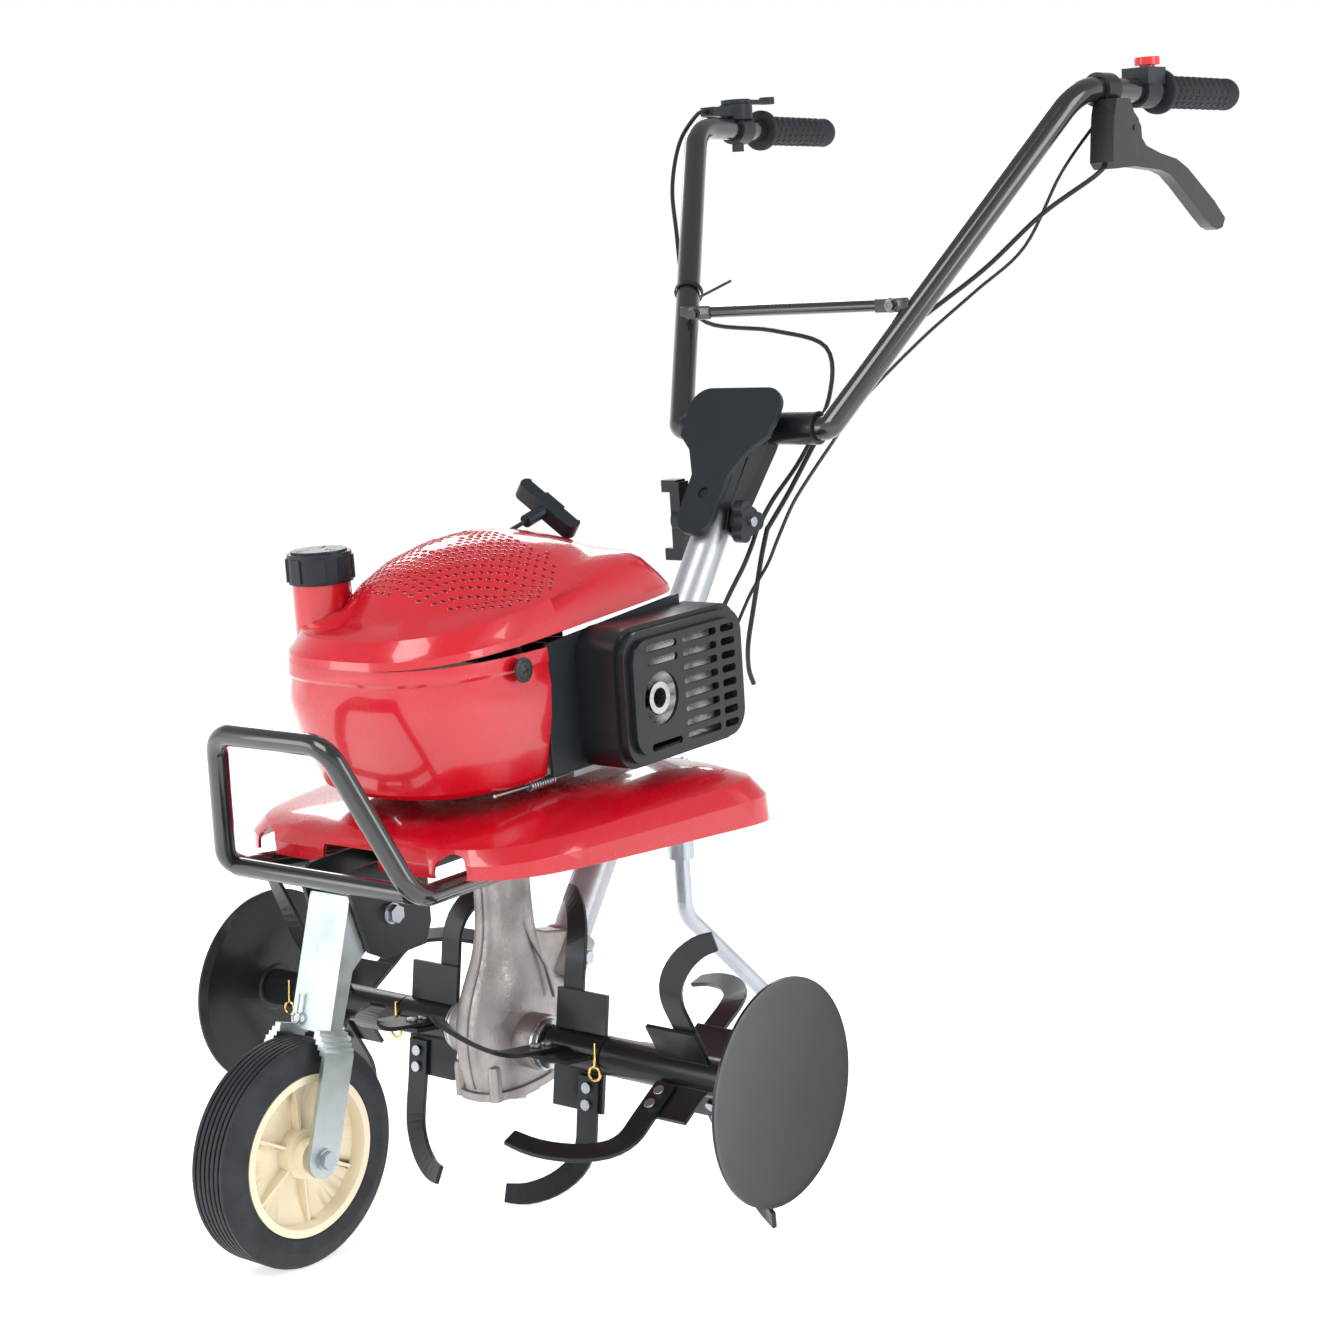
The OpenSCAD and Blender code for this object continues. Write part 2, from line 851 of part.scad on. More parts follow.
// The centre line of a blade: x0 is its root, sweep its sideways reach.
function blade_line(x0, sweep, a) =
  let (c = [[0, 20, 4.1], [0, 58, 4.1], [0, 82, 5], [0.1, 101, 10], [0.36, 117.5, 19],
    [0.7, 127.5, 29], [1, tip_r, 37]])
  smooth([for (p = c) [x0 + sweep * p[0], 0, 0] + p[1] * spoke(a) + p[2] * tangent(a)], 3);

module blade(x0, sweep, a) {
  p = blade_line(x0, sweep, a);
  m = len(p) - 1;
  rings = [for (i = [0:m])
    let (t = along(p, i), f = tangent(a + 14 * i / m), v = unit(f - (f * t) * t), u = cross(v, t))
    let (w = blade_w / 2 * (1 - 0.25 * pow(i / m, 3)), h = blade_t / 2)
    [p[i] + w * u + h * v, p[i] - w * u + h * v, p[i] - w * u - h * v, p[i] + w * u - h * v]];
  skin_rings(rings);
}

module inner_tines() {
  color("dimgray")
    tine_frame()
      both_sides() {
        blade(102, -62, inner_turn);
        blade(74, -40, inner_turn + 90);
        blade(74, -40, inner_turn + 180);
        blade(102, -62, inner_turn + 270);
      }
}

module outer_tines() {
  color("dimgray")
    tine_frame()
      both_sides() {
        blade(222, 44, outer_turn);
        blade(198, -80, outer_turn + 90);
        blade(222, 44, outer_turn + 180);
        blade(198, -80, outer_turn + 270);
      }
}

module holder(x0, x1, p0, p1, turn) {
  difference() {
    union() {
      translate([x0, 0, 0])
        rotate([0, 90, 0])
          cylinder(h = x1 - x0, r = holder_r);
      for (a = [turn, turn + 90])
        rotate([-a, 0, 0])
          translate([p0, -2, -52])
            cube([p1 - p0, 4, 104]);
    }
    translate([x0 - 1, 0, 0])
      rotate([0, 90, 0])
        cylinder(h = x1 - x0 + 2, r = shaft_r + fit);
  }
}

module inner_holders() {
  color("dimgray")
    tine_frame()
      both_sides()
        holder(58, 121, 60, 116, inner_turn);
}

module outer_holders() {
  color("dimgray")
    tine_frame()
      both_sides()
        holder(122, 298, 184, 236, outer_turn);
}

module tine_bolts() {
  color("gray")
    tine_frame()
      both_sides() {
        for (k = [0:3])
          rotate([-inner_turn - 90 * k, 0, 0])
            for (r = [30, 45])
              translate([k == 0 || k == 3 ? 102 : 74, -6.15, -r])
                rotate([90, 0, 0])
                  cylinder(h = 3, r = 5);
        for (k = [0:3])
          rotate([-outer_turn - 90 * k, 0, 0])
            for (r = [30, 45])
              translate([k == 0 || k == 2 ? 222 : 198, -6.15, -r])
                rotate([90, 0, 0])
                  cylinder(h = 3, r = 5);
      }
}

module hairpins() {
  color("gold")
    tine_frame()
      both_sides()
        for (x = [119, 262])
          translate([x, -18.6, 0]) {
            rotate([0, 0, 0])
              translate([0, 0, -12])
                rotate([90, 0, 0])
                  rotate_extrude()
                    translate([6, 0])
                      circle(r = 1.2);
            translate([0, 0, -7])
              cylinder(h = 22, r = 1.3);
          }
}

module side_discs() {
  color("dimgray")
    tine_frame()
      both_sides()
        translate([half_width - 9, 0, 0])
          rotate([0, 90, 0])
            difference() {
              rotate_extrude()
                polygon([[0, 2], [21, 2], [23, 4], [disc_r - 8, 4], [disc_r, 6.5], [disc_r, 9],
                  [disc_r - 8, 6.5], [0, 6.5]]);
              cylinder(h = 2.1, r = holder_r + 0.1);
            }
}

module tine_shaft() {
  color("gray")
    tine_frame()
      rotate([0, 90, 0])
        cylinder(h = 590, r = shaft_r, center = true);
}

module worm_gear() {
  color("goldenrod")
    body_frame()
      rotate([0, 90, 0])
        difference() {
          linear_extrude(height = 10, center = true)
            difference() {
              union() {
                circle(r = 18.4);
                for (k = [0:gear_teeth - 1])
                  rotate([0, 0, (k + 0.5) * 360 / gear_teeth])
                    polygon([[17, -1.1], [18.4, -1], [21, -0.45], [21, 0.45], [18.4, 1], [17, 1.1]]);
              }
              circle(r = shaft_r + 0.001);
            }
        }
}

module worm_shaft() {
  color("lightgray")
    body_frame()
      translate([0, gear_centres, 0])
        union() {
          translate([0, 0, -2 * worm_lead])
            linear_extrude(height = 4 * worm_lead, twist = -1440, slices = 48, convexity = 4)
              polygon(concat([[0, -3]], [for (k = [0:3]) 8.1 * [cos(-128 + k * 76 / 3),
                sin(-128 + k * 76 / 3)]]));
          translate([0, 0, -12.5])
            cylinder(h = 25, r = 5.6);
          translate([0, 0, 12])
            cylinder(h = 202, r = drive_r);
          translate([0, 0, -36])
            cylinder(h = 24, r = drive_r);
          translate([0, crank_y - gear_centres, 213.5])
            difference() {
              cylinder(h = 26, r = 43);
              translate([0, 0, 4])
                cylinder(h = 30, r = 40);
            }
        }
}

// ---- Handles ----

module handle_bracket() {
  color("dimgray")
    body_frame()
      difference() {
        union() {
          column_frame()
            both_sides()
              side_view(20, 24)
                polygon([[-8, 452], [8, 452], [15, 466], [26, 560], [26, 592], [0, 596], [-12, 560],
                  [-14, 470]]);
          rod([-80, bar_low[1], bar_low[2]], [80, bar_low[1], bar_low[2]], 16.5);
          column_frame(498)
            translate([-20.1, -12, 0])
              cube([40.2, 4, 60]);
        }
        rod([-81, bar_low[1], bar_low[2]], [81, bar_low[1], bar_low[2]], bar_r + fit);
        column_frame(pivot_s)
          rotate([0, 90, 0])
            cylinder(h = 80, r = 5 + fit, center = true);
      }
}

module shield_cover() {
  color("dimgray")
    body_frame()
      column_frame()
        difference() {
          union() {
            translate([0, -25, 0])
              rotate([90, 0, 0])
                linear_extrude(height = 6)
                  union() {
                    translate([0, 457])
                      circle(r = 22);
                    translate([-22, 457])
                      square([44, 46]);
                    polygon([[-22, 500], [22, 500], [36, 528], [54, 545], [54, 580], [-54, 580],
                      [-54, 545], [-36, 528]]);
                    rounded(-56, 541, 56, 599, 22);
                  }
            translate([-24, -26, 470])
              cube([3.9, 14, 90]);
            translate([20.1, -26, 470])
              cube([3.9, 14, 90]);
          }
          for (s = [-1, 1])
            translate([s * 22 - 3, -14.2, 440])
              cube([6, 20, 160]);
          translate([0, -28, 480])
            rotate([90, 0, 0])
              cylinder(h = 10, r = 6);
        }
}

module clamp_bolt() {
  color("lightgray")
    body_frame()
      column_frame(pivot_s)
        rotate([0, 90, 0])
          cylinder(h = 96, r = 5, center = true);
}

module clamp_knob() {
  color("dimgray")
    body_frame()
      column_frame(pivot_s)
        translate([26.5, 0, 0])
          rotate([0, 90, 0])
            difference() {
              union() {
                cylinder(h = 17, r = 12);
                translate([0, 0, 5])
                  cylinder(h = 12, r = 14.5);
                for (k = [1:3])
                  rotate([0, 0, 120 * k])
                    translate([13.5, 0, 5.5])
                      cylinder(h = 11, r = 9);
              }
              translate([0, 0, -1])
                cylinder(h = 30, r = 5 + fit);
            }
}

module wing_knob() {
  color("dimgray")
    body_frame()
      column_frame(pivot_s)
        translate([-26.5, 0, 0])
          rotate([0, -90, 0])
            difference() {
              union() {
                cylinder(h = 20, r = 12);
                rotate([0, 0, -36.4])
                  translate([-38, -8, 10])
                    cube([76, 16, 12]);
                rotate([0, 0, -36.4])
                  for (s = [-1, 1])
                    translate([s * 34 - 6, -8, 14])
                      cube([12, 16, 18]);
              }
              translate([0, 0, -1])
                cylinder(h = 50, r = 5 + fit);
            }
}

function bar_points(e) = concat([[22, bar_low[1], bar_low[2]]],
  bow([22, bar_low[1], bar_low[2]], bar_low, bar_high, 9, 5),
  bow(bar_low, bar_high, bar_flange, 60, 7), [e]);

module handlebar_left() {
  color("black")
    body_frame() {
      pipe(bar_points(bar_flange + 3 * grip_dir), bar_r, bar_bore_r, 24);
      rod(bar_flange + grip_dir, bar_end - 5 * grip_dir, bar_r - 0.15);
    }
}

module handlebar_right() {
  color("black")
    body_frame() {
      mirror([1, 0, 0]) {
        pipe(bar_points(bar_flange + 3 * grip_dir), bar_r, bar_bore_r, 24);
        rod(bar_flange + grip_dir, bar_end - 5 * grip_dir, bar_r - 0.15);
      }
    }
}

module brace() {
  color("black")
    body_frame() {
      rod([-116, 510, 612.5], [116, 510, 612.5], 6);
      both_sides() {
        translate([106, 502, 606.5])
          cube([22, 3, 14]);
        translate([121, 501.9, 613.5])
          rotate([90, 0, 0])
            cylinder(h = 4, r = 6);
      }
    }
}

module grip() {
  aim(bar_flange, bar_end) {
    difference() {
      union() {
        cylinder(h = 7, r = 23);
        translate([0, 0, 7])
          cylinder(h = norm(bar_end - bar_flange) - 7, r = grip_r);
      }
      translate([0, 0, -1])
        cylinder(h = norm(bar_end - bar_flange) - 3, r = bar_r + 0.1);
    }
  }
}

module grip_left() {
  color("dimgray")
    body_frame()
      grip();
}

module grip_right() {
  color("dimgray")
    body_frame()
      mirror([1, 0, 0])
        grip();
}

module throttle_housing() {
  color("dimgray")
    body_frame()
      difference() {
        union() {
          aim(flip(bar_at(760)), flip(bar_at(775)))
            cylinder(h = 26, r = 17);
          translate([-249, 772, 820])
            cylinder(h = 17, r = 19);
          translate([-258, 716, 824])
            cube([18, 48, 10]);
          translate([-253, 766, 784])
            cube([8, 12, 12]);
        }
        aim(flip(bar_at(700)), flip(bar_at(720)))
          cylinder(h = 130, r = bar_r + 0.3);
        rod([-249, 690, 829], [-249, 730, 829], 2.6);
      }
}

module throttle_lever() {
  color("dimgray")
    body_frame() {
      translate([-249, 772, 837.5])
        cylinder(h = 5, r = 17);
      translate([-255, 772, 837.5])
        cube([12, 62, 5]);
      translate([-249, 834, 837.5])
        cylinder(h = 8, r = 9);
    }
}

module switch_housing() {
  color("dimgray")
    body_frame()
      difference() {
        union() {
          aim(bar_at(784), bar_at(799))
            cylinder(h = 26, r = 17);
          translate([237, 780, 815])
            cube([30, 40, 17]);
        }
        aim(bar_at(700), bar_at(720))
          cylinder(h = 130, r = bar_r + 0.3);
        translate([252, 808, 825])
          cylinder(h = 12, r = 8.05);
      }
}

module stop_button() {
  color("red")
    body_frame()
      translate([252, 808, 0]) {
        translate([0, 0, 829])
          cylinder(h = 6, r = 8);
        translate([0, 0, 834.9])
          cylinder(h = 8, r = 13);
      }
}

module clutch_bracket() {
  color("dimgray")
    body_frame() {
      difference() {
        union() {
          aim(bar_at(713), bar_at(728))
            cylinder(h = 22, r = 17);
          side_view(243, 269)
            polygon([[706, 800], [734, 800], [743, 786], [752, 780], [756, 764], [751, 745],
              [746, 733], [702, 731], [694, 738], [697, 765], [700, 784]]);
        }
        aim(bar_at(700), bar_at(720))
          cylinder(h = 130, r = bar_r + 0.3);
        translate([248.9, 710, 700])
          cube([14.2, 120, 88]);
        rod([256, 680, 723], [256, 716, 743], 2.8);
      }
      rod([242, 743, 771], [270, 743, 771], 3);
    }
}

module clutch_lever() {
  color("dimgray")
    body_frame()
      difference() {
        side_view(249.3, 262.7)
          polygon([[735, 780], [746, 785], [762, 781], [770, 773], [771, 761], [781, 753],
            [813, 745], [849, 739], [875, 729], [908, 710], [938, 693], [964, 674], [957, 664],
            [944, 662], [929, 666], [910, 677], [884, 693], [855, 711], [833, 723], [812, 728],
            [762, 732], [735, 735], [731, 752]]);
        rod([240, 743, 771], [270, 743, 771], 3.05);
      }
}

// ---- Cables ----

module throttle_cable() {
  color("black")
    body_frame()
      wire(smooth([[-249, 715.5, 829], [-250, 699, 826], [-251, 665, 796], [-250, 645, 748],
        [-240, 634, 700], [-206, 598, 638], [-150, 560, 600], [-60, 556, 589], [6, 556, 570],
        [24, 530, 520], [28, 470, 466], [32, 410, 430], [30, 384, 404]], 6), 2.4, 8);
}

module clutch_cable() {
  color("black")
    body_frame()
      wire(smooth([[256, 705, 737], [253, 682, 724], [212, 646, 690], [165, 610, 640],
        [110, 560, 590], [70, 520, 548], [46, 480, 490], [40, 430, 438], [38, 390, 404]], 7),
        2.6, 8);
}

module switch_wire() {
  color("black")
    body_frame()
      wire(smooth([[232, 800, 818], [228, 740, 780], [212, 690, 730], [190, 650, 660],
        [150, 616, 618], [112, 570, 574], [76, 515, 520], [62, 470, 476], [54, 420, 432],
        [54, 392, 404]], 7), 1.8, 8);
}

module lower_cables() {
  color("black")
    body_frame() {
      wire(smooth([[28, 377, 390], [24, 366, 370], [14, 350, 340], [10, 320, 300], [40, 280, 270],
        [70, 240, 262], [84, 204, 262]], 6), 2.4, 8);
      wire(smooth([[36, 386, 390], [32, 384, 372], [24, 380, 330], [14, 380, 290],
        [4, 392, 262], [0, 404, 244]], 6), 2.6, 8);
      wire(smooth([[50, 386, 390], [44, 378, 370], [30, 364, 340], [30, 330, 300], [50, 300, 284],
        [90, 250, 276], [96, 210, 272]], 6), 1.8, 8);
    }
}

module cable_tie() {
  color("black")
    body_frame()
      mirror([1, 0, 0]) {
        translate([153.3, 536, 631.6])
          rotate([-45, 24, 0])
            difference() {
              cylinder(h = 5, r = 15.4);
              translate([0, 0, -1])
                cylinder(h = 8, r = 13.8);
            }
        rod([161, 545, 622], [170, 634.7, 640.5], 1.6);
      }
}

gearcase();
gearcase_cover();
shaft_seals();
body_bolts();
deck();
column();
clutch_housing();
engine_block();
engine_shroud();
top_cover();
side_cover();
muffler();
muffler_guard();
fuel_tank();
air_cleaner();
governor_linkage();
wheel_bracket();
lift_bar();
drag_holder();
lower_cables();
crankshaft();
flywheel();
clutch_shoes();
worm_shaft();
tine_shaft();
worm_gear();
inner_holders();
outer_holders();
inner_tines();
outer_tines();
side_discs();
tine_bolts();
hairpins();
wheel_fork();
fork_hardware();
wheel_rim();
wheel_tyre();
drag_bar();
handle_bracket();
shield_cover();
clamp_bolt();
handlebar_left();
handlebar_right();
brace();
grip_left();
grip_right();
throttle_housing();
switch_housing();
clutch_bracket();
throttle_cable();
clutch_cable();
switch_wire();
cable_tie();
clamp_knob();
wing_knob();
throttle_lever();
clutch_lever();
stop_button();
fuel_cap();
starter_handle();
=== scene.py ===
import json
import math
import bmesh
import bpy
from mathutils import Matrix, Vector
from mathutils.bvhtree import BVHTree

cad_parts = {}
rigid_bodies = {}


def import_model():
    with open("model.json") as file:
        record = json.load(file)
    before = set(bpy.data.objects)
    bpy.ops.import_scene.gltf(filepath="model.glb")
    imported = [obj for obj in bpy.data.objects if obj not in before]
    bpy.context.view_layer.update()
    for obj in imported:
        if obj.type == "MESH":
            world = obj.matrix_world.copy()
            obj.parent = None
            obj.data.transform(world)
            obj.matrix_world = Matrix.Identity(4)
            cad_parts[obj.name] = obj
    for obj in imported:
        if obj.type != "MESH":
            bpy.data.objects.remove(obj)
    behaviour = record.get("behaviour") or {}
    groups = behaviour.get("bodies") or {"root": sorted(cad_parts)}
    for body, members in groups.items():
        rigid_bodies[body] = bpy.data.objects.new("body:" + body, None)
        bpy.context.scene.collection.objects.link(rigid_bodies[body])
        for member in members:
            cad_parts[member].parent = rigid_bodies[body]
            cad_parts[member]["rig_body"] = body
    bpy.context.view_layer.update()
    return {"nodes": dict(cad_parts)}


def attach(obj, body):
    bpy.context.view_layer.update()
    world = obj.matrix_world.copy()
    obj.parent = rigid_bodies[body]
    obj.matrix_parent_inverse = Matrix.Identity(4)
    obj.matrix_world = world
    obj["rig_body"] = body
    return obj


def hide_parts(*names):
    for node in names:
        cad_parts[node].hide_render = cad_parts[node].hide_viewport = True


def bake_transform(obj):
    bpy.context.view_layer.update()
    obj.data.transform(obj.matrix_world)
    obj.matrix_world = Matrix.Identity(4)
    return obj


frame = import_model()

# ---- Frames: every shape below is drawn in millimetres in one of these ----


def shift(x, y, z):
    return Matrix.Translation((x, y, z))


def turn(angle, axis):
    return Matrix.Rotation(math.radians(angle), 4, axis)


TINES = Matrix.Scale(0.001, 4) @ shift(0, -266, 136.5)
BODY = TINES @ turn(6, "X")
COLUMN_FOOT = shift(0, 79.9, 41.2) @ turn(-36.4, "X")

# ---- Materials ----


def surface(name, colour, rough, metal=0.0, coat=0.0, spread=0.1, patch=18.0, grain=900.0, relief=0.02,
            rough_spread=0.08, stretch=(1, 1, 1), coat_rough=0.04, distance=0.0004, tint=None):
    """A finish whose colour and roughness drift over the surface, with a fine grain as its relief."""
    m = bpy.data.materials.new(name)
    m.use_nodes = True
    nodes, links = m.node_tree.nodes, m.node_tree.links
    shader = nodes["Principled BSDF"]
    shader.inputs["Metallic"].default_value = metal
    shader.inputs["Coat Weight"].default_value = coat
    shader.inputs["Coat Roughness"].default_value = coat_rough
    where = nodes.new("ShaderNodeTexCoord")
    mapping = nodes.new("ShaderNodeMapping")
    mapping.inputs["Scale"].default_value = stretch
    links.new(where.outputs["Object"], mapping.inputs["Vector"])

    def noise(scale, detail, lump=0.5):
        n = nodes.new("ShaderNodeTexNoise")
        n.inputs["Scale"].default_value = scale
        n.inputs["Detail"].default_value = detail
        n.inputs["Roughness"].default_value = lump
        links.new(mapping.outputs["Vector"], n.inputs["Vector"])
        return n

    broad = noise(patch, 4.0)
    ramp = nodes.new("ShaderNodeValToRGB")
    ramp.color_ramp.elements[0].position = 0.3
    ramp.color_ramp.elements[1].position = 0.7
    low = [c * (1 - spread) for c in colour]
    high = [min(1.0, c * (1 + spread)) for c in (tint or colour)]
    ramp.color_ramp.elements[0].color = (*low, 1)
    ramp.color_ramp.elements[1].color = (*high, 1)
    links.new(broad.outputs["Fac"], ramp.inputs["Fac"])
    links.new(ramp.outputs["Color"], shader.inputs["Base Color"])
    mid = noise(patch * 7, 5.0, 0.6)
    span = nodes.new("ShaderNodeMapRange")
    span.inputs["From Min"].default_value = 0.3
    span.inputs["From Max"].default_value = 0.7
    span.inputs["To Min"].default_value = max(0.02, rough - rough_spread)
    span.inputs["To Max"].default_value = min(1.0, rough + rough_spread)
    links.new(mid.outputs["Fac"], span.inputs["Value"])
    links.new(span.outputs["Result"], shader.inputs["Roughness"])
    fine = noise(grain, 3.0)
    bump = nodes.new("ShaderNodeBump")
    bump.inputs["Strength"].default_value = relief
    bump.inputs["Distance"].default_value = distance
    links.new(fine.outputs["Fac"], bump.inputs["Height"])
    links.new(bump.outputs["Normal"], shader.inputs["Normal"])
    return m


RED = surface("red_paint", (0.52, 0.002, 0.012), 0.26, coat=0.8, spread=0.03, grain=160, relief=0.006,
              rough_spread=0.03)
GLOSS = surface("gloss_black", (0.011, 0.012, 0.014), 0.2, coat=0.8, spread=0.15, grain=200, relief=0.008,
                rough_spread=0.04)
SATIN = surface("satin_black", (0.010, 0.013, 0.016), 0.32, coat=0.15, spread=0.2, patch=12, grain=300,
                relief=0.012, rough_spread=0.04, coat_rough=0.15)
PLASTIC = surface("black_plastic", (0.013, 0.018, 0.023), 0.4, spread=0.12, grain=1500, relief=0.06,
                  rough_spread=0.04)
RUBBER = surface("grip_rubber", (0.02, 0.024, 0.028), 0.62, spread=0.2, grain=1200, relief=0.15)
TYRE = surface("tyre_rubber", (0.022, 0.025, 0.03), 0.55, spread=0.3, patch=40, grain=900, relief=0.2)
CREAM = surface("cream_plastic", (0.80, 0.71, 0.52), 0.38, spread=0.04, grain=500, relief=0.05)
ZINC = surface("zinc_plate", (0.44, 0.48, 0.52), 0.34, metal=1.0, spread=0.12, patch=16, grain=500,
               relief=0.02, rough_spread=0.05)
TINTED = surface("tinted_zinc", (0.38, 0.44, 0.46), 0.38, metal=1.0, spread=0.16, patch=12, grain=400,
                 relief=0.02, rough_spread=0.05, tint=(0.46, 0.50, 0.50))
CAST = surface("cast_aluminium", (0.36, 0.34, 0.33), 0.46, metal=0.9, spread=0.22, patch=30, grain=420,
               relief=0.55, rough_spread=0.12, distance=0.0006)
SILVER = surface("silver_paint", (0.42, 0.44, 0.47), 0.42, metal=0.75, coat=0.3, spread=0.05, grain=1600,
                 relief=0.1)
STEEL = surface("machined_steel", (0.50, 0.51, 0.52), 0.3, metal=1.0, spread=0.12, patch=40, grain=900,
                relief=0.1, stretch=(1, 1, 6))
GOLD = surface("brass_wire", (0.86, 0.62, 0.18), 0.22, metal=1.0, spread=0.14, patch=60, grain=900,
               relief=0.05)
BUTTON = surface("red_plastic", (0.68, 0.008, 0.014), 0.28, coat=0.4, spread=0.06, grain=700, relief=0.04)
DARK = surface("dark_iron", (0.05, 0.052, 0.055), 0.5, metal=0.6, spread=0.3, grain=500, relief=0.2)
# painted shade: the dark red of the vent holes' shadowed insides, laid on the cover as ovals
HOLE_SHADE_RED = surface("vent_shadow", (0.09, 0.002, 0.006), 0.5, spread=0.2, grain=300, relief=0.02)
BRONZE = surface("gear_bronze", (0.62, 0.40, 0.16), 0.32, metal=1.0, spread=0.15, grain=600, relief=0.1)
for m, level in ((PLASTIC, 0.3), (SATIN, 0.3), (RUBBER, 0.25), (TYRE, 0.25)):
    m.node_tree.nodes["Principled BSDF"].inputs["Specular IOR Level"].default_value = level
FLOOR = surface("floor", (0.93, 0.93, 0.93), 0.7, spread=0.005, patch=2, grain=60, relief=0.01)
FLOOR.node_tree.nodes["Principled BSDF"].inputs["Emission Color"].default_value = (1, 1, 1, 1)
FLOOR.node_tree.nodes["Principled BSDF"].inputs["Emission Strength"].default_value = 0.62

# ---- Mesh tools ----


def circle(r, n=24):
    return [(r * math.cos(2 * math.pi * k / n), r * math.sin(2 * math.pi * k / n)) for k in range(n)]


def rounded(x0, y0, x1, y1, r, n=6):
    points = []
    corners = ((x1 - r, y1 - r, 0), (x0 + r, y1 - r, 90), (x0 + r, y0 + r, 180), (x1 - r, y0 + r, 270))
    for cx, cy, a in corners:
        for k in range(n + 1):
            t = math.radians(a + 90 * k / n)
            points.append((cx + r * math.cos(t), cy + r * math.sin(t)))
    return points


def skin(bm, rows, wrap=True, loop=False, caps=True):
    """Faces between rows of points that all have the same length."""
    made = [[bm.verts.new(p) for p in row] for row in rows]
    count, wide = len(made), len(made[0])
    for i in range(count if loop else count - 1):
        a, b = made[i], made[(i + 1) % count]
        for j in range(wide if wrap else wide - 1):
            k = (j + 1) % wide
            bm.faces.new((a[j], a[k], b[k], b[j]))
    if caps and not loop:
        bm.faces.new(made[0])
        bm.faces.new(list(reversed(made[-1])))
    return made


def sweep(bm, points, outline, ups=None, caps=True, loop=False):
    """A closed outline carried along points; ups steers its second axis."""
    points = [Vector(p) for p in points]
    rows, held = [], Vector((0.31, 0.9, 0.29))
    for i, p in enumerate(points):
        before = points[i - 1] if i or loop else p
        after = points[(i + 1) % len(points)] if i < len(points) - 1 or loop else p
        t = (after - before).normalized()
        v = Vector(ups[i]) if isinstance(ups, list) else Vector(ups) if ups else held
        v = (v - t * v.dot(t)).normalized()
        held = v
        u = v.cross(t)
        shape = outline(i) if callable(outline) else outline
        rows.append([p + u * x + v * y for x, y in shape])
    return skin(bm, rows, loop=loop, caps=caps)


def tube(bm, points, r, n=20, bore=None):
    if bore is None:
        sweep(bm, points, circle(r, n))
    else:
        rows = []
        for radius in (r, bore):
            other = bmesh.new()
            swept = sweep(other, points, circle(radius, n), caps=False)
            rows.append([[v.co.copy() for v in row] for row in swept])
            other.free()
        skin(bm, rows[0] + rows[1][::-1], loop=True)


def lathe(bm, profile, place=None, n=56, closed=True):
    """Turns a profile of (radius, height) about Z, then places it."""
    place = place or Matrix.Identity(4)
    rows = []
    for k in range(n):
        a = 2 * math.pi * k / n
        rows.append([place @ Vector((r * math.cos(a), r * math.sin(a), h)) for r, h in profile])
    skin(bm, rows, wrap=closed, loop=True)


def brick(bm, low, high, r=1.0, place=None, steps=2):
    """A box with rounded edges."""
    part = bmesh.new()
    size = [b - a for a, b in zip(low, high)]
    middle = [(a + b) / 2 for a, b in zip(low, high)]
    bmesh.ops.create_cube(part, size=1, matrix=Matrix.Translation(middle) @ Matrix.Diagonal((*size, 1)))
    bmesh.ops.bevel(part, geom=part.edges[:], offset=min(r, min(size) * 0.45), segments=steps, profile=0.5,
                    affect="EDGES")
    add(bm, part, place)


def add(bm, part, place=None):
    if place:
        part.transform(place)
    mesh = bpy.data.meshes.new("part")
    part.to_mesh(mesh)
    part.free()
    bm.from_mesh(mesh)
    bpy.data.meshes.remove(mesh)


def plate(bm, outlines, z0, z1, place=None, edge=0.6):
    """A plate with rounded edges: the first outline is its edge, the others are its holes."""
    data = bpy.data.curves.new("plate", "CURVE")
    data.dimensions = "2D"
    data.fill_mode = "BOTH"
    data.extrude = (z1 - z0) / 2 - edge
    data.bevel_depth = edge
    data.bevel_resolution = 2
    data.offset = -edge
    for k, points in enumerate(outlines):
        area = sum(a[0] * b[1] - b[0] * a[1] for a, b in zip(points, points[1:] + points[:1]))
        if (area > 0) != (k == 0):
            points = points[::-1]
        spline = data.splines.new("POLY")
        spline.points.add(len(points) - 1)
        for p, (x, y) in zip(spline.points, points):
            p.co = (x, y, 0, 1)
        spline.use_cyclic_u = True
    holder = bpy.data.objects.new("plate", data)
    bpy.context.collection.objects.link(holder)
    graph = bpy.context.evaluated_depsgraph_get()
    mesh = bpy.data.meshes.new_from_object(holder.evaluated_get(graph))
    part = bmesh.new()
    part.from_mesh(mesh)
    bmesh.ops.remove_doubles(part, verts=part.verts, dist=0.001)
    part.transform(shift(0, 0, (z0 + z1) / 2))
    bpy.data.meshes.remove(mesh)
    bpy.data.objects.remove(holder)
    bpy.data.curves.remove(data)
    add(bm, part, place)


def bend(a, b, c, r, n=8):
    """Points of a fillet of radius r at b."""
    a, b, c = Vector(a), Vector(b), Vector(c)
    u, v = (a - b).normalized(), (c - b).normalized()
    h = math.acos(max(-1, min(1, u.dot(v)))) / 2
    o = b + (u + v).normalized() * r / math.sin(h)
    s, e = b + u * r / math.tan(h) - o, b + v * r / math.tan(h) - o
    w = math.pi - 2 * h
    return [o + (s * math.sin(w * (1 - k / n)) + e * math.sin(w * k / n)) / math.sin(w) for k in range(n + 1)]


def route(points, radii, n=8):
    """A polyline with its inner corners rounded."""
    out = [Vector(points[0])]
    for i in range(1, len(points) - 1):
        out += bend(points[i - 1], points[i], points[i + 1], radii[i - 1], n)
    return out + [Vector(points[-1])]


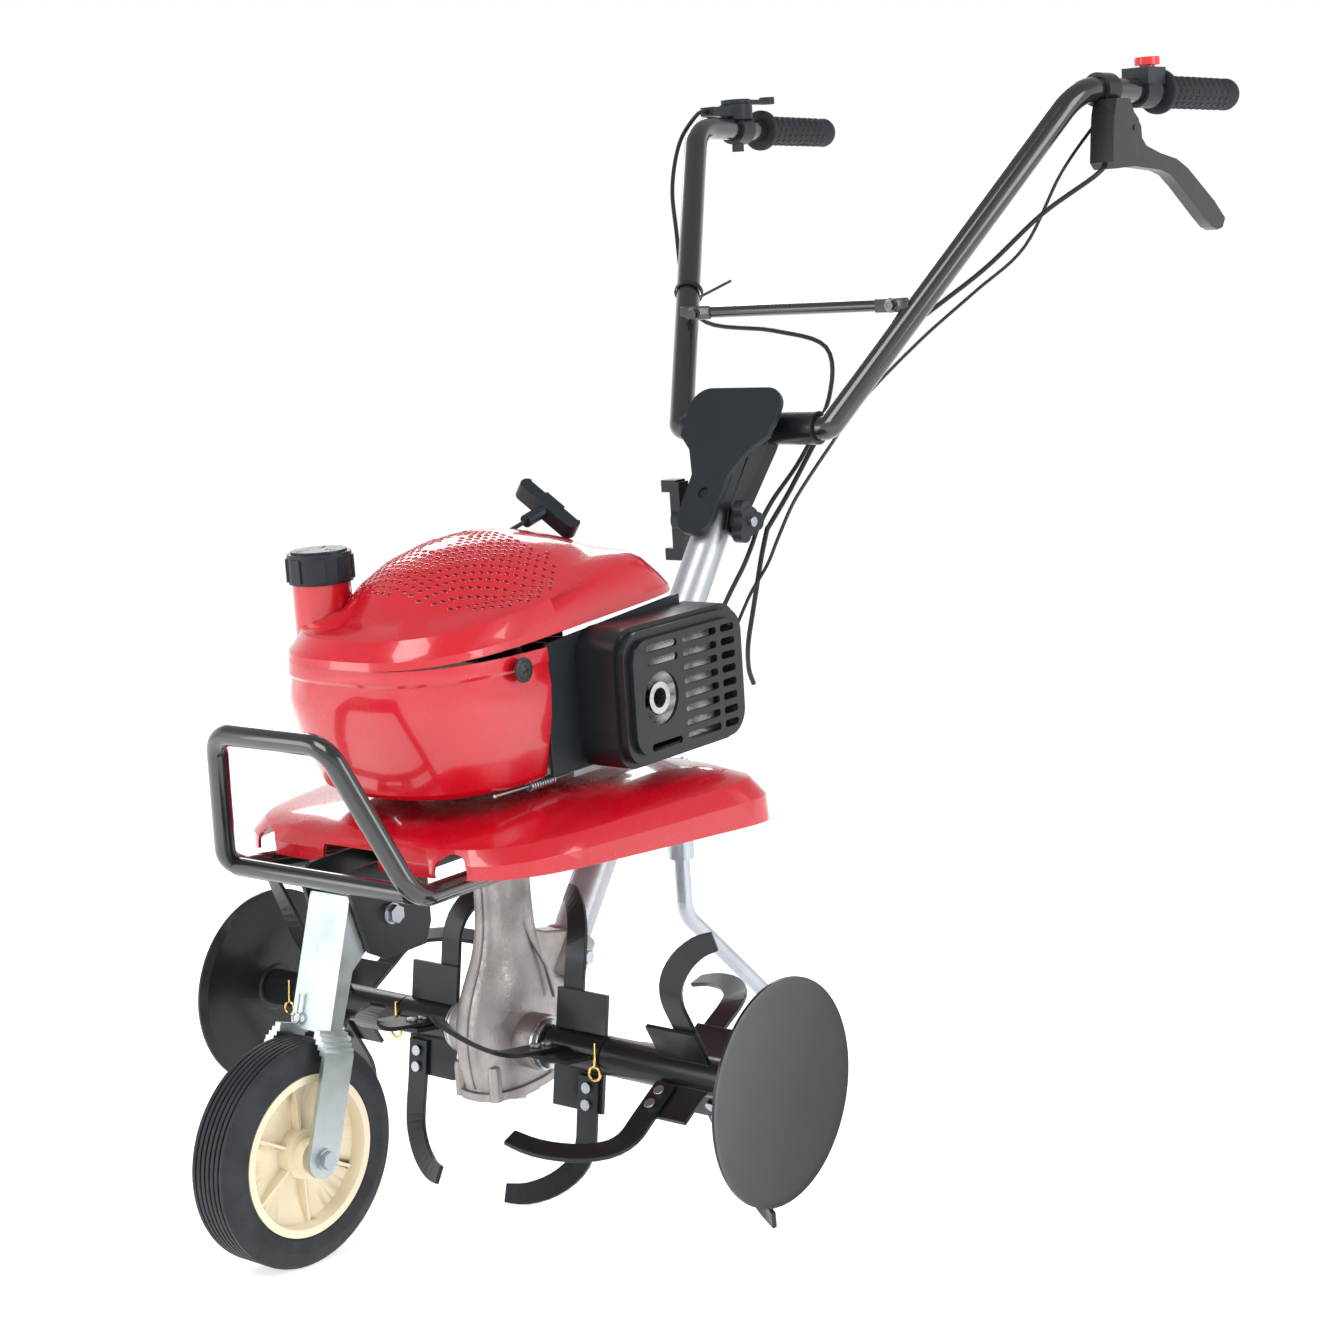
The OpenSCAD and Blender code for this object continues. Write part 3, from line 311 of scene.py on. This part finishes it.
def spline(points, m=6):
    p = [Vector(q) for q in points]
    out = []
    for i in range(len(p) - 1):
        a, b, c, d = p[max(i - 1, 0)], p[i], p[i + 1], p[min(i + 2, len(p) - 1)]
        for k in range(m):
            t = k / m
            out.append(0.5 * (2 * b + (c - a) * t + (2 * a - 5 * b + 4 * c - d) * t * t
                              + (3 * b - a - 3 * c + d) * t ** 3))
    return out + [p[-1]]


def aim(a, b):
    """Z runs from a towards b, from a."""
    a, b = Vector(a), Vector(b)
    return Matrix.Translation(a) @ (b - a).to_track_quat("Z", "Y").to_matrix().to_4x4()


def hex_head(bm, r, h, place, washer=1.5):
    lathe(bm, [(0, 0), (r * 1.3, 0), (r * 1.3, washer * 0.7), (r * 1.22, washer), (0, washer)], place, 32,
          closed=False)
    part = bmesh.new()
    rows = []
    for radius, z in ((r, washer), (r, washer + h * 0.8), (r * 0.93, washer + h), (r * 0.5, washer + h),
                      (r * 0.45, washer + h * 0.86)):
        rows.append([Vector((x, y, z)) for x, y in circle(radius, 6)])
    skin(part, rows)
    add(bm, part, place)


def round_head(bm, r, h, place):
    lathe(bm, [(0, h), (r * 0.35, h * 0.97), (r * 0.7, h * 0.8), (r * 0.93, h * 0.45), (r, 0), (0, 0)],
          place, 24, closed=False)


def piece(name, body, material, bm, frame_of=None, nodes=(), angle=35):
    """Turns a bmesh into one of the object's pieces, in the row frame, riding on a CAD body."""
    if frame_of is not None:
        bm.transform(frame_of)
    bmesh.ops.remove_doubles(bm, verts=bm.verts, dist=0.00001)
    bmesh.ops.recalc_face_normals(bm, faces=bm.faces)
    mesh = bpy.data.meshes.new(name)
    bm.to_mesh(mesh)
    bm.free()
    for m in material if isinstance(material, list) else [material]:
        mesh.materials.append(m)
    mesh.shade_smooth()
    mesh.set_sharp_from_angle(angle=math.radians(angle))
    o = bpy.data.objects.new(name, mesh)
    bpy.context.collection.objects.link(o)
    if body:
        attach(o, body)
    if nodes:
        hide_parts(*nodes)
    return o


def remake(node, material, width=0.8, angle=30):
    """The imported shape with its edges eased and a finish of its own."""
    source = frame["nodes"][node]
    bm = bmesh.new()
    bm.from_mesh(source.data)
    bmesh.ops.remove_doubles(bm, verts=bm.verts, dist=0.00001)
    bmesh.ops.dissolve_limit(bm, angle_limit=math.radians(1.0), verts=bm.verts, edges=bm.edges)
    o = piece(node + "_piece", source["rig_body"], material, bm, None, [node], angle)
    if width:
        mod = o.modifiers.new("ease", "BEVEL")
        mod.width = width / 1000
        mod.segments = 2
        mod.limit_method = "ANGLE"
        mod.angle_limit = math.radians(angle)
        mod.harden_normals = True
    return o



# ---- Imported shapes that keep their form: a finish each, and how far their edges are eased in mm ----

FINISH = {
    "gearcase_cover": CAST, "shaft_seals": STEEL, "body_bolts": ZINC, "deck": RED, "column": SILVER,
    "clutch_housing": CAST, "engine_block": CAST, "engine_shroud": RED, "side_cover": PLASTIC,
    "muffler": STEEL, "muffler_guard": SATIN, "fuel_tank": RED, "air_cleaner": PLASTIC,
    "governor_linkage": ZINC, "wheel_bracket": SATIN, "drag_holder": ZINC, "lower_cables": PLASTIC,
    "crankshaft": STEEL, "flywheel": DARK, "clutch_shoes": DARK, "worm_shaft": STEEL, "tine_shaft": STEEL,
    "worm_gear": BRONZE, "inner_holders": SATIN, "outer_holders": SATIN, "inner_tines": SATIN,
    "outer_tines": SATIN, "side_discs": SATIN, "tine_bolts": ZINC, "hairpins": GOLD, "wheel_fork": TINTED,
    "fork_hardware": ZINC, "wheel_rim": CREAM, "wheel_tyre": TYRE, "drag_bar": ZINC,
    "handle_bracket": SATIN, "shield_cover": PLASTIC, "clamp_bolt": ZINC, "throttle_housing": PLASTIC,
    "switch_housing": PLASTIC, "clutch_bracket": SATIN, "throttle_cable": PLASTIC,
    "clutch_cable": PLASTIC, "switch_wire": PLASTIC, "cable_tie": PLASTIC, "clamp_knob": PLASTIC,
    "wing_knob": PLASTIC, "throttle_lever": PLASTIC, "clutch_lever": SATIN, "stop_button": BUTTON,
    "fuel_cap": PLASTIC, "starter_handle": PLASTIC, "top_cover": RED,
}
EASE = {
    "muffler_guard": 2.2, "shield_cover": 3.0, "top_cover": 0.6, "engine_shroud": 0.6, "stop_button": 0.2,
    "switch_housing": 0.2, "fuel_cap": 1.0, "starter_handle": 1.2, "engine_block": 0.4, "shaft_seals": 0.3,
    "clutch_shoes": 0, "worm_gear": 0, "worm_shaft": 0, "hairpins": 0, "lower_cables": 0,
    "throttle_cable": 0, "clutch_cable": 0, "switch_wire": 0,
}
EASE_REST = 0.7

for name in sorted(FINISH):
    remake(name, FINISH[name], EASE.get(name, EASE_REST))

# ---- Gearcase: a neck that swells into the worm wheel's housing ----

# Turns a shape drawn from the side, so that its Z runs across the machine.
CROSS = Matrix(((0, 0, 1, 0), (1, 0, 0, 0), (0, 1, 0, 0), (0, 0, 0, 1)))
# Sections of the casting: height, half width, middle and half depth.
CASE = [(192, 19.5, 10, 28), (150, 19, 10, 28), (112, 19.3, 10, 28.5), (88, 20.5, 9, 31),
        (68, 23.5, 7, 37), (50, 27, 4, 44), (32, 29.5, 2, 49), (12, 31, 0, 52), (-8, 31, 0, 52),
        (-24, 30, 0, 49.5), (-36, 28.5, 0, 46), (-38, 29, 0, 46.5), (-39, 32, 0, 50), (-46, 32, 0, 50)]


def case_row(z, hx, yc, hy, n=64):
    """A rounded-square section of the casting."""
    row = []
    for k in range(n):
        a = 2 * math.pi * k / n
        c, d = math.cos(a), math.sin(a)
        row.append((hx * math.copysign(abs(c) ** 0.8, c), yc + hy * math.copysign(abs(d) ** 0.8, d), z))
    return row


fine = []
for a, b in zip(CASE, CASE[1:]):
    steps = max(1, int((a[0] - b[0]) / 6))
    fine += [[a[i] + (b[i] - a[i]) * k / steps for i in range(4)] for k in range(steps)]
fine.append(CASE[-1])
soft = []
for i, row in enumerate(fine):
    near = fine[max(0, i - 2):i + 3] if -34 < row[0] < 180 else [row]
    soft.append([row[0]] + [sum(q[k] for q in near) / len(near) for k in (1, 2, 3)])
bm = bmesh.new()
made = skin(bm, [case_row(*row) for row in soft], caps=False)
bm.faces.new(list(reversed(made[-1])))
gone = [f for f in bm.faces if math.hypot(f.calc_center_median().y, f.calc_center_median().z) < 21
        and abs(f.calc_center_median().x) > 12]
bmesh.ops.delete(bm, geom=gone, context="FACES")
sweep(bm, [(0, row[2] - row[3] - 0.4, row[0]) for row in soft[:-3]],
      rounded(-1.6, -1.8, 1.6, 1.8, 1.2, 3), (1, 0, 0))
for s in (-1, 1):
    side = CROSS @ Matrix.Scale(s, 4, (0, 0, 1))
    lathe(bm, [(17, 27), (25, 27), (24.6, 34), (25, 44), (24, 48), (17, 48)], side, 48)
    lathe(bm, [(0.02, -46), (6, -46), (6, -20), (5, -15), (0.02, -12)], shift(s * 20, -40, 0), 20)
    sweep(bm, [(s * 18, 14, 104), (s * 22, 20, 84), (s * 27, 30, 60), (s * 31, 34, 30)],
          rounded(-1.6, -2, 1.6, 2, 1.2, 3), (1, 0, 0))
web = [(14, -24), (50, -10), (74, 14), (102, 40), (84, 76), (50, 84), (20, 96)]
plate(bm, [web], -12, 12, CROSS, 3)
lathe(bm, [(18.7, -11), (22, -12), (24, -9), (24, 29), (22.5, 31.5), (18.7, 32)],
      COLUMN_FOOT, 48)
plate(bm, [rounded(-70, -62, 70, 58, 20), circle(15, 32)], 190.3, 204.6, shift(0, 24, 0), 1.5)
piece("gearcase_shell", "chassis", CAST, bm, BODY, ["gearcase"], 40)

# ---- Small parts on the cowl ----

bm = bmesh.new()
place = shift(115.1, -66, 352) @ turn(90, "Y")
round_head(bm, 8.3, 3.6, place)
lathe(bm, [(0.02, -1), (10.5, -1), (10.5, 0.4), (9.6, 1.0), (0.02, 1.0)], place, 32)
piece("cowl_screw", "chassis", DARK, bm, BODY)
# painted shade: the screw's cross recess is a darker raised cross on its head, not a hollow
bm = bmesh.new()
for a in (20, 110):
    brick(bm, (-5.2, -1.0, 2.6), (5.2, 1.0, 3.75), 0.3, place @ turn(a, "Z"), 1)
piece("cowl_screw_recess_shade", "chassis", RUBBER, bm, BODY)

# ---- Cables across the handle pivot ----

# Each row: up the cable on the handles, its end, the lower cable's end, down that cable, and a radius.
for k, (a, b, c, d, radius) in enumerate((
        ((31.9, 406, 427.6), (30, 384, 404), (28, 377, 390), (25, 368.4, 375), 2.3),
        ((39, 410, 421), (38, 390, 404), (36, 386, 390), (33, 384.4, 377), 2.5),
        ((54, 404, 416), (54, 392, 404), (50, 386, 390), (46, 380, 377), 1.75))):
    bm = bmesh.new()
    a, d = Vector(b).lerp(Vector(a), 0.12), Vector(c).lerp(Vector(d), 0.12)
    tube(bm, spline([a, b, c, d], 8), radius, 16)
    o = piece("cable_bridge_" + "abc"[k], None, PLASTIC, bm, BODY)
    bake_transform(o)

# ---- Tubes, grips and brace ----

# The left bar's lower and upper bends, and its grip's ends.
LOW, HIGH = Vector((91, 429, 499.6)), Vector((239, 682, 811))
FLANGE, END = Vector((254.2, 823, 808.1)), Vector((263.5, 972.7, 805.2))
ALONG = (END - FLANGE).normalized()
BAR_R = 12.5
PADS = 14


def flip(p):
    """The same point on the machine's right."""
    return Vector((-p[0], p[1], p[2]))


for side in ("left", "right"):
    hand = (lambda p: Vector(p)) if side == "left" else flip
    bm = bmesh.new()
    path = route([(22, LOW.y, LOW.z), LOW, HIGH, FLANGE + ALONG, END - ALONG * 6], [9, 60, 40], 14)
    tube(bm, [hand(p) for p in path], BAR_R, 36)
    piece("handlebar_" + side + "_tube", "handles", GLOSS, bm, BODY, ["handlebar_" + side])
    bm = bmesh.new()
    place = aim(hand(FLANGE), hand(END))
    long = (END - FLANGE).length
    profile = [(12.6, 0.5), (21.5, 0), (23, 1.5), (23, 5.5), (21.5, 7), (17.5, 8), (15.6, 10.5), (15.9, 14)]
    profile += [(15.9, long - 13), (16.3, long - 12), (16.9, long - 10), (16.9, long - 4), (16, long - 1.4),
                (13, long - 0.2), (0.02, long)]
    profile += [(0.02, long - 5), (12.6, long - 5)]
    lathe(bm, profile, place, 64)
    for ring in range(9):
        for k in range(PADS):
            pad = bmesh.new()
            z = 20 + ring * 12.6 + (k % 2) * 3.1
            brick(pad, (15.2, -2.2, z), (16.8, 2.2, z + 5.2), 0.5, None, 1)
            add(bm, pad, place @ turn(k * 360 / PADS, "Z"))
    piece("grip_" + side + "_sleeve", "handles", RUBBER, bm, BODY, ["grip_" + side], 40)

loop = [(58, 40, 180.8), (80, -60, 181), (110, -208, 194), (63, -244.5, 321.6)]
loop = [Vector(p) for p in loop] + [flip(p) for p in reversed(loop)]
bm = bmesh.new()
tube(bm, route(loop, [60, 30, 26, 26, 30, 60], 10), 9, 28)
tube(bm, [(-100, -204, 196), (0, -204, 196), (100, -204, 196)], 8, 24)
piece("lift_bar_tube", "chassis", GLOSS, bm, BODY, ["lift_bar"])

bm = bmesh.new()
tube(bm, [(-117, 510, 612.5), (-40, 510, 612.5), (40, 510, 612.5), (117, 510, 612.5)], 6, 24)
for s in (-1, 1):
    x = sorted((s * 102, s * 141))
    brick(bm, (x[0], 502.5, 605.5), (x[1], 506.5, 619.5), 1.5)
    hex_head(bm, 5.6, 3.4, shift(s * 122, 502.6, 612.5) @ turn(90, "X"))
piece("brace_bar", "handles", GLOSS, bm, BODY, ["brace"])

# ---- Vents: rows of oval holes over the dome of the top cover, drawn as dark ovals of painted shade with red rims ----

COLUMN_STEP, ROW_STEP = 7.6, 6.4
DOME_Y, DOME_HALF_X, DOME_HALF_Y = -26, 96, 84
ABOVE = 620
STRETCH = 1.45

def seat(tree, start, way):
    """Where a line first meets the shape, and the surface's normal there, facing the line's start."""
    hit, normal, _, _ = tree.ray_cast(start, way)
    if hit is None:
        return None
    if normal.dot(way) > 0:
        normal = -normal
    return hit, normal


def oval(bm, profile, place, n):
    """A profile of (radius, height) turned about Z and stretched along X."""
    rows = []
    for k in range(n):
        a = 2 * math.pi * k / n
        rows.append([place @ Vector((STRETCH * q * math.cos(a), q * math.sin(a), h)) for q, h in profile])
    skin(bm, rows, wrap=False, loop=True)


def vents():
    """Diagonal rows of ovals laid on the dome, left clear behind the crown: dark ovals of painted shade where
    the holes' insides would be, each with a red rim.
    """
    cover = bmesh.new()
    cover.from_mesh(frame["nodes"]["top_cover"].data)
    tree = BVHTree.FromBMesh(cover)
    holes, rims = bmesh.new(), bmesh.new()
    up = (BODY.to_3x3() @ Vector((0, 0, 1))).normalized()
    for i in range(-15, 16):
        for j in range(-13, 14):
            x, y = (i + j % 2 / 2) * COLUMN_STEP, DOME_Y + j * ROW_STEP
            reach = math.hypot(x / DOME_HALF_X, (y - DOME_Y) / DOME_HALF_Y)
            if reach > 1 or (y > 20 and abs(x) < 62) or y > 42:
                continue
            place = seat(tree, BODY @ Vector((x, y, ABOVE)), -up)
            if place is None:
                continue
            at, normal = place
            if normal.dot(up) > 0.985 and reach < 0.25:
                continue
            grain = Vector((1, 0, 0)) - normal * normal.x
            grain.normalize()
            side = normal.cross(grain)
            base = Matrix((grain, side, normal)).transposed().to_4x4()
            base = Matrix.Translation(at + normal * 0.00012) @ base @ Matrix.Scale(0.001, 4) @ turn(28, "Z")
            # painted shade: each hole is a dark oval laid just above the cover, not cut through it
            oval(holes, [(0.02, 0.12), (1.35, 0.12), (1.5, 0.0)], base, 10)
            oval(rims, [(1.4, 0.0), (1.5, 0.35), (1.85, 0.38), (2.15, 0.0)], base, 12)
    cover.free()
    piece("vent_hole_shade", "chassis", HOLE_SHADE_RED, holes, angle=60)
    piece("vent_rims", "chassis", RED, rims, angle=60)


vents()

# ---- Studio ----

bm = bmesh.new()
bmesh.ops.create_grid(bm, x_segments=24, y_segments=24, size=6)
for v in bm.verts:
    v.co.z = -0.0005
floor = piece("floor", None, FLOOR, bm)


def softbox(name, place, target, size, power, colour=(1, 1, 1)):
    light = bpy.data.lights.new(name, "AREA")
    light.shape = "RECTANGLE"
    light.size, light.size_y = size
    light.energy = power
    light.color = colour
    o = bpy.data.objects.new(name, light)
    bpy.context.collection.objects.link(o)
    o.location = place
    o.rotation_mode = "QUATERNION"
    o.rotation_quaternion = (Vector(target) - Vector(place)).to_track_quat("-Z", "Y")


softbox("key", (0.4, -2.2, 2.6), (0, -0.2, 0.4), (1.6, 1.6), 46)
softbox("side", (2.6, 0.4, 1.4), (0, 0, 0.5), (1.2, 1.8), 28)
softbox("back", (-1.8, 1.6, 2.0), (0, 0, 0.5), (1.6, 1.2), 30)
softbox("low", (-1.2, -2.2, 0.7), (0, -0.3, 0.3), (1.0, 1.0), 10)

world = bpy.data.worlds.new("studio")
bpy.context.scene.world = world
world.use_nodes = True
nodes, links = world.node_tree.nodes, world.node_tree.links
where = nodes.new("ShaderNodeTexCoord")
split = nodes.new("ShaderNodeSeparateXYZ")
ramp = nodes.new("ShaderNodeValToRGB")
links.new(where.outputs["Generated"], split.inputs["Vector"])
links.new(split.outputs["Z"], ramp.inputs["Fac"])
ramp.color_ramp.elements[0].position = 0.28
ramp.color_ramp.elements[0].color = (1, 1, 1, 1)
ramp.color_ramp.elements[1].position = 0.55
ramp.color_ramp.elements[1].color = (0.42, 0.42, 0.43, 1)
links.new(ramp.outputs["Color"], nodes["Background"].inputs["Color"])
nodes["Background"].inputs["Strength"].default_value = 1.02

camera = bpy.data.cameras.new("camera")
camera.lens = 63.39
camera.sensor_width = 36.0
camera.clip_end = 50
eye = bpy.data.objects.new("camera", camera)
bpy.context.collection.objects.link(eye)
eye.location = (1.3888, -1.8049, 0.6713)
eye.rotation_mode = "QUATERNION"
eye.rotation_quaternion = Vector((-0.61338, 0.78385, -0.09669)).to_track_quat("-Z", "Y")
bpy.context.scene.camera = eye
bpy.context.scene.view_settings.view_transform = "Standard"
